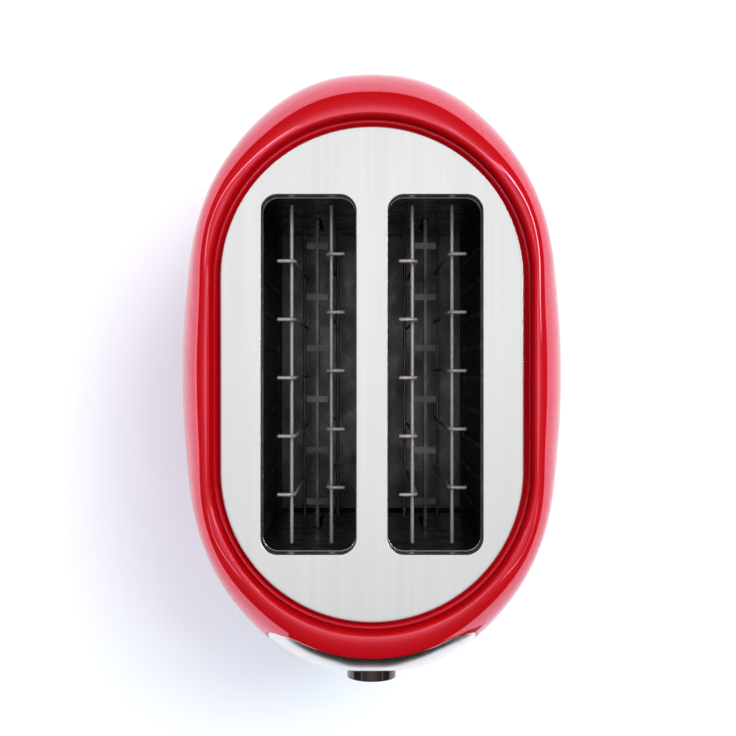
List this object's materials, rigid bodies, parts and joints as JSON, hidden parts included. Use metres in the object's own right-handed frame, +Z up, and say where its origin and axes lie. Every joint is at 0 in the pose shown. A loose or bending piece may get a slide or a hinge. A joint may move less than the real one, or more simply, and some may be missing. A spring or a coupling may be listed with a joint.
{
  "type": "two-slice toaster",
  "caption": "Oval pop-up toaster with a painted body, steel top plate with long bread slots, a front panel with a sliding lever, a browning dial and push buttons.",
  "frame": {"origin": "on the surface that the feet stand on, under the middle of the whole object's box", "axes": "+Z up, front with lever and dial towards -Y, +X to the right seen from the front"},
  "size_m": [0.1634, 0.277, 0.19],
  "materials": {
    "painted_body": "gloss red enamel over sheet steel",
    "brushed_steel": "fine brushed stainless steel",
    "bright_trim": "polished",
    "bright_wire": "bright plated wire",
    "sheet_steel": "plain bright sheet",
    "plain_steel": "plain steel",
    "mica": "matt mica board",
    "heating_ribbon": "oxidised resistance ribbon",
    "coil_wire": "enamelled copper winding",
    "black_plastic": "fine moulded grain",
    "knob_plastic": "polished dark moulding",
    "board_laminate": "glass laminate",
    "foot_rubber": "matt"
  },
  "bodies": {
    "chassis": {"body_shell": "painted_body", "top_plate": "brushed_steel", "control_panel": "brushed_steel", "lever_track": "black_plastic", "lever_surround": "bright_trim", "browning_control": "plain_steel", "dial_ring": "bright_trim", "button_switch_1": "black_plastic", "button_switch_2": "black_plastic", "button_switch_3": "black_plastic", "button_switch_4": "black_plastic", "circuit_board": "board_laminate", "front_end_plate": "sheet_steel", "rear_end_plate": "sheet_steel", "left_reflector": "sheet_steel", "right_reflector": "sheet_steel", "left_outer_heater_board": "mica", "left_inner_heater_board": "mica", "right_inner_heater_board": "mica", "right_outer_heater_board": "mica", "left_outer_heating_ribbon": "heating_ribbon", "left_inner_heating_ribbon": "heating_ribbon", "right_inner_heating_ribbon": "heating_ribbon", "right_outer_heating_ribbon": "heating_ribbon", "guide_rod": "bright_trim", "rod_bracket": "sheet_steel", "lift_spring": "plain_steel", "magnet_core": "plain_steel", "magnet_coil": "coil_wire", "mains_switch": "black_plastic", "base_pan": "black_plastic", "foot_1": "foot_rubber", "foot_2": "foot_rubber", "foot_3": "foot_rubber", "foot_4": "foot_rubber", "base_screw_1": "plain_steel", "base_screw_2": "plain_steel", "base_screw_3": "plain_steel", "base_screw_4": "plain_steel", "cord_inlet": "black_plastic"},
    "lever_carriage": {"carriage": "plain_steel", "lever_arm": "plain_steel", "lever_knob": "knob_plastic", "left_bread_rack": "sheet_steel", "right_bread_rack": "sheet_steel", "armature": "plain_steel", "switch_striker": "black_plastic"},
    "left_outer_guard_body": {"left_outer_guard": "bright_wire"},
    "left_inner_guard_body": {"left_inner_guard": "bright_wire"},
    "right_inner_guard_body": {"right_inner_guard": "bright_wire"},
    "right_outer_guard_body": {"right_outer_guard": "bright_wire"},
    "dial": {"browning_dial": "knob_plastic", "control_shaft": "plain_steel"},
    "button_1": {"push_button_1": "knob_plastic"},
    "button_2": {"push_button_2": "knob_plastic"},
    "button_3": {"push_button_3": "knob_plastic"},
    "button_4": {"push_button_4": "knob_plastic"},
    "tray": {"crumb_tray": "sheet_steel", "tray_handle": "black_plastic"}
  },
  "joints": [
    {"name": "lever_slide", "type": "slide", "parent": "chassis", "child": "lever_carriage", "axis": [0, 0, -1], "range_m": [0, 0.052], "stiffness_N_per_m": 90, "springref_m": -0.06, "deforming": ["lift_spring"]},
    {"name": "left_outer_guard_tilt", "type": "hinge", "parent": "chassis", "child": "left_outer_guard_body", "pos_m": [-0.0338, 0, 0.038], "axis": [0, 1, 0], "range_deg": [0, 2]},
    {"name": "left_inner_guard_tilt", "type": "hinge", "parent": "chassis", "child": "left_inner_guard_body", "pos_m": [-0.017, 0, 0.038], "axis": [0, -1, 0], "range_deg": [0, 2]},
    {"name": "right_inner_guard_tilt", "type": "hinge", "parent": "chassis", "child": "right_inner_guard_body", "pos_m": [0.017, 0, 0.038], "axis": [0, 1, 0], "range_deg": [0, 2]},
    {"name": "right_outer_guard_tilt", "type": "hinge", "parent": "chassis", "child": "right_outer_guard_body", "pos_m": [0.0338, 0, 0.038], "axis": [0, -1, 0], "range_deg": [0, 2]},
    {"name": "dial_turn", "type": "hinge", "parent": "chassis", "child": "dial", "pos_m": [0, -0.13, 0.035], "axis": [0, -1, 0], "range_deg": [-135, 135]},
    {"name": "button_1_press", "type": "slide", "parent": "chassis", "child": "button_1", "axis": [0, 1, 0], "range_m": [0, 0.002], "stiffness_N_per_m": 400, "springref_m": -0.0015},
    {"name": "button_2_press", "type": "slide", "parent": "chassis", "child": "button_2", "axis": [0, 1, 0], "range_m": [0, 0.002], "stiffness_N_per_m": 400, "springref_m": -0.0015},
    {"name": "button_3_press", "type": "slide", "parent": "chassis", "child": "button_3", "axis": [0, 1, 0], "range_m": [0, 0.002], "stiffness_N_per_m": 400, "springref_m": -0.0015},
    {"name": "button_4_press", "type": "slide", "parent": "chassis", "child": "button_4", "axis": [0, 1, 0], "range_m": [0, 0.002], "stiffness_N_per_m": 400, "springref_m": -0.0015},
    {"name": "tray_slide", "type": "slide", "parent": "chassis", "child": "tray", "axis": [0, 1, 0], "range_m": [0, 0.19]}
  ],
  "couplings": [
    {"joint": "left_outer_guard_tilt", "follows": "lever_slide", "rad_per_m": 0.64},
    {"joint": "left_inner_guard_tilt", "follows": "lever_slide", "rad_per_m": 0.64},
    {"joint": "right_inner_guard_tilt", "follows": "lever_slide", "rad_per_m": 0.64},
    {"joint": "right_outer_guard_tilt", "follows": "lever_slide", "rad_per_m": 0.64}
  ]
}
